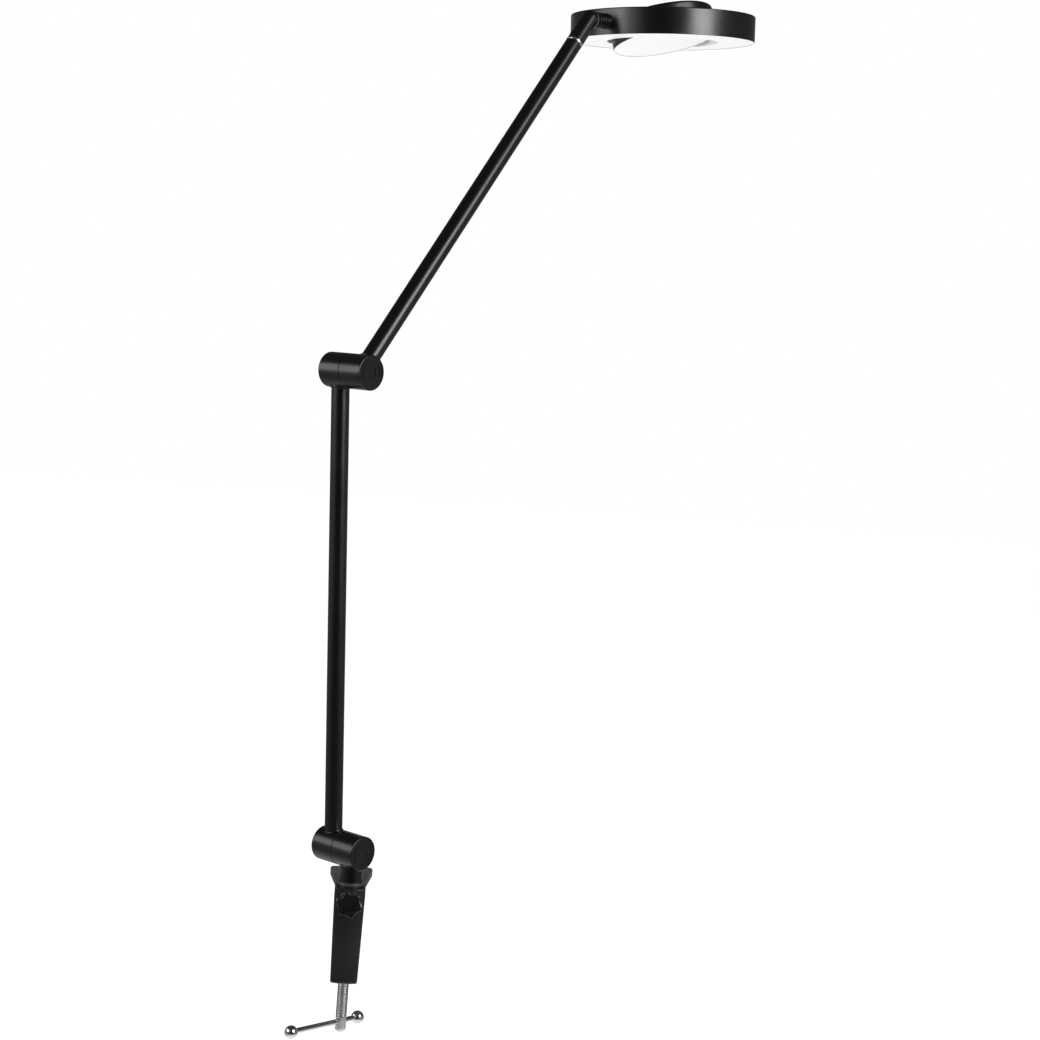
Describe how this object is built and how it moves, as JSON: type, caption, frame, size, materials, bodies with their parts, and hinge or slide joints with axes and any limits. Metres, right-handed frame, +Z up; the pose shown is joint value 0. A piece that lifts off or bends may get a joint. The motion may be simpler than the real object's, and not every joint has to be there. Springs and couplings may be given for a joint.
{
  "type": "architect desk lamp",
  "caption": "Clamp-on architect desk lamp: swivelling post, two tube arms on friction knuckles, and a flat ring light head with a disc light that flips inside it.",
  "frame": {"origin": "on the clamp screw's axis, at the face of the jaw pad that bears on the top of the desk", "axes": "+Z up along the clamp screw and the post, +Y from the clamp's spine out past the jaws over the desk, +X to the right when facing +Y"},
  "size_m": [0.3997, 0.387, 0.9896],
  "materials": {
    "black_coat": "satin",
    "black_cap": "satin",
    "black_rubber": "matte",
    "black_knob": "satin",
    "nylon": "matte",
    "white_nylon": "matte",
    "bright_chrome": "polished",
    "zinc_steel": "satin",
    "brass_plug": "satin",
    "fibre": "matte",
    "turned_aluminium": "satin",
    "wire_sheath": "satin",
    "black_shell": "satin",
    "opal": "satin",
    "white_board": "satin",
    "led_chip": "satin",
    "green_board": "satin"
  },
  "bodies": {
    "clamp": {"clamp_frame": "black_coat", "jaw_pad": "black_rubber", "socket_bush": "nylon"},
    "clamp_foot": {"swivel_foot": "zinc_steel", "foot_pad": "black_rubber"},
    "clamp_screw": {"clamp_screw": "bright_chrome"},
    "tommy_bar": {"tommy_bar": "bright_chrome", "tommy_balls": "bright_chrome"},
    "lock_plug": {"lock_plug": "brass_plug"},
    "lock_knob": {"lock_knob": "black_knob", "lock_stud": "zinc_steel"},
    "post": {"post": "black_coat", "lower_near_drum": "black_coat", "lower_near_cap": "black_cap", "lower_pivot_tube": "zinc_steel", "lower_friction_washer": "fibre", "lower_spring_washer": "zinc_steel", "lower_pivot_nut": "zinc_steel", "power_inlet": "nylon"},
    "lower_arm": {"lower_far_drum": "black_coat", "lower_far_cap": "black_cap", "lower_arm_tube": "black_coat", "lower_arm_wire": "wire_sheath", "upper_far_drum": "black_coat", "upper_far_cap": "black_cap", "upper_pivot_tube": "zinc_steel", "upper_friction_washer": "fibre", "upper_spring_washer": "zinc_steel", "upper_pivot_nut": "zinc_steel"},
    "upper_arm": {"upper_near_drum": "black_coat", "upper_near_cap": "black_cap", "upper_arm_tube": "black_coat", "upper_arm_wire": "wire_sheath", "tip_plug": "turned_aluminium", "tip_collar": "bright_chrome"},
    "elbow": {"elbow_spigot": "turned_aluminium", "spigot_clip": "zinc_steel", "seat_springs": "zinc_steel", "ball_seat": "white_nylon", "head_elbow": "black_coat"},
    "head_neck": {"ball_stud": "zinc_steel", "ribbed_sleeve": "black_knob", "roll_washer": "zinc_steel", "roll_nut": "zinc_steel"},
    "ring": {"ring_housing": "black_shell", "ring_diffuser": "opal", "ring_led_board": "white_board", "ring_leds": "led_chip", "ring_screws": "zinc_steel", "driver_board": "green_board", "disc_bearings": "nylon"},
    "disc": {"disc_housing": "black_shell", "disc_diffuser": "opal", "disc_led_board": "white_board", "disc_leds": "led_chip", "disc_screws": "zinc_steel", "disc_pins": "zinc_steel", "pin_spacers": "nylon"},
    "power_button": {"power_button": "black_knob"}
  },
  "joints": [
    {"name": "post_swivel", "type": "hinge", "parent": "clamp", "child": "post", "pos_m": [0, -0.044, 0], "axis": [0, 0, 1], "continuous": true},
    {"name": "lower_arm_hinge", "type": "hinge", "parent": "post", "child": "lower_arm", "pos_m": [-0.00898, -0.03519, 0.04], "axis": [-0.7138, 0.7003, 0], "range_deg": [-85.7, 94.2]},
    {"name": "upper_arm_hinge", "type": "hinge", "parent": "lower_arm", "child": "upper_arm", "pos_m": [-0.03129, -0.05793, 0.46501], "axis": [-0.7138, 0.7003, 0], "range_deg": [-177.2, 92.7]},
    {"name": "head_swivel", "type": "hinge", "parent": "upper_arm", "child": "elbow", "pos_m": [0.16719, 0.1264, 0.81223], "axis": [0.4305, 0.4388, 0.7888], "range_deg": [-165, 165]},
    {"name": "head_tilt", "type": "hinge", "parent": "elbow", "child": "head_neck", "pos_m": [0.16719, 0.1264, 0.81223], "axis": [0.7138, -0.7003, 0], "range_deg": [-30, 19.5]},
    {"name": "head_roll", "type": "hinge", "parent": "head_neck", "child": "ring", "pos_m": [0.16719, 0.1264, 0.81223], "axis": [0.6976, 0.711, 0.0885], "range_deg": [-165, 165]},
    {"name": "disc_flip", "type": "hinge", "parent": "ring", "child": "disc", "pos_m": [0.24797, 0.20873, 0.82248], "axis": [0.6976, 0.711, 0.0885], "range_deg": [-75.8, 104.2]},
    {"name": "button_press", "type": "slide", "parent": "ring", "child": "power_button", "axis": [0.062, 0.0632, -0.9961], "range_m": [0, 0.0008], "stiffness_N_per_m": 1500, "springref_m": -0.0006},
    {"name": "foot_travel", "type": "slide", "parent": "clamp", "child": "clamp_foot", "axis": [0, 0, 1], "range_m": [-0.007, 0.0417]},
    {"name": "clamp_screw_turn", "type": "hinge", "parent": "clamp_foot", "child": "clamp_screw", "pos_m": [0, 0, -0.0525], "axis": [0, 0, 1], "range_deg": [-1680, 10008]},
    {"name": "tommy_slide", "type": "slide", "parent": "clamp_screw", "child": "tommy_bar", "axis": [0.7716, 0.6361, 0], "range_m": [-0.008, 0.045]},
    {"name": "lock_plug_travel", "type": "slide", "parent": "clamp", "child": "lock_plug", "axis": [0, -1, 0], "range_m": [0, 0.0015]},
    {"name": "lock_knob_turn", "type": "hinge", "parent": "lock_plug", "child": "lock_knob", "pos_m": [0, -0.0656, 0], "axis": [0, -1, 0], "range_deg": [0, 540]}
  ],
  "couplings": [
    {"joint": "foot_travel", "follows": "clamp_screw_turn", "m_per_rad": 0.00023873},
    {"joint": "lock_plug_travel", "follows": "lock_knob_turn", "m_per_rad": 0.00015915}
  ]
}
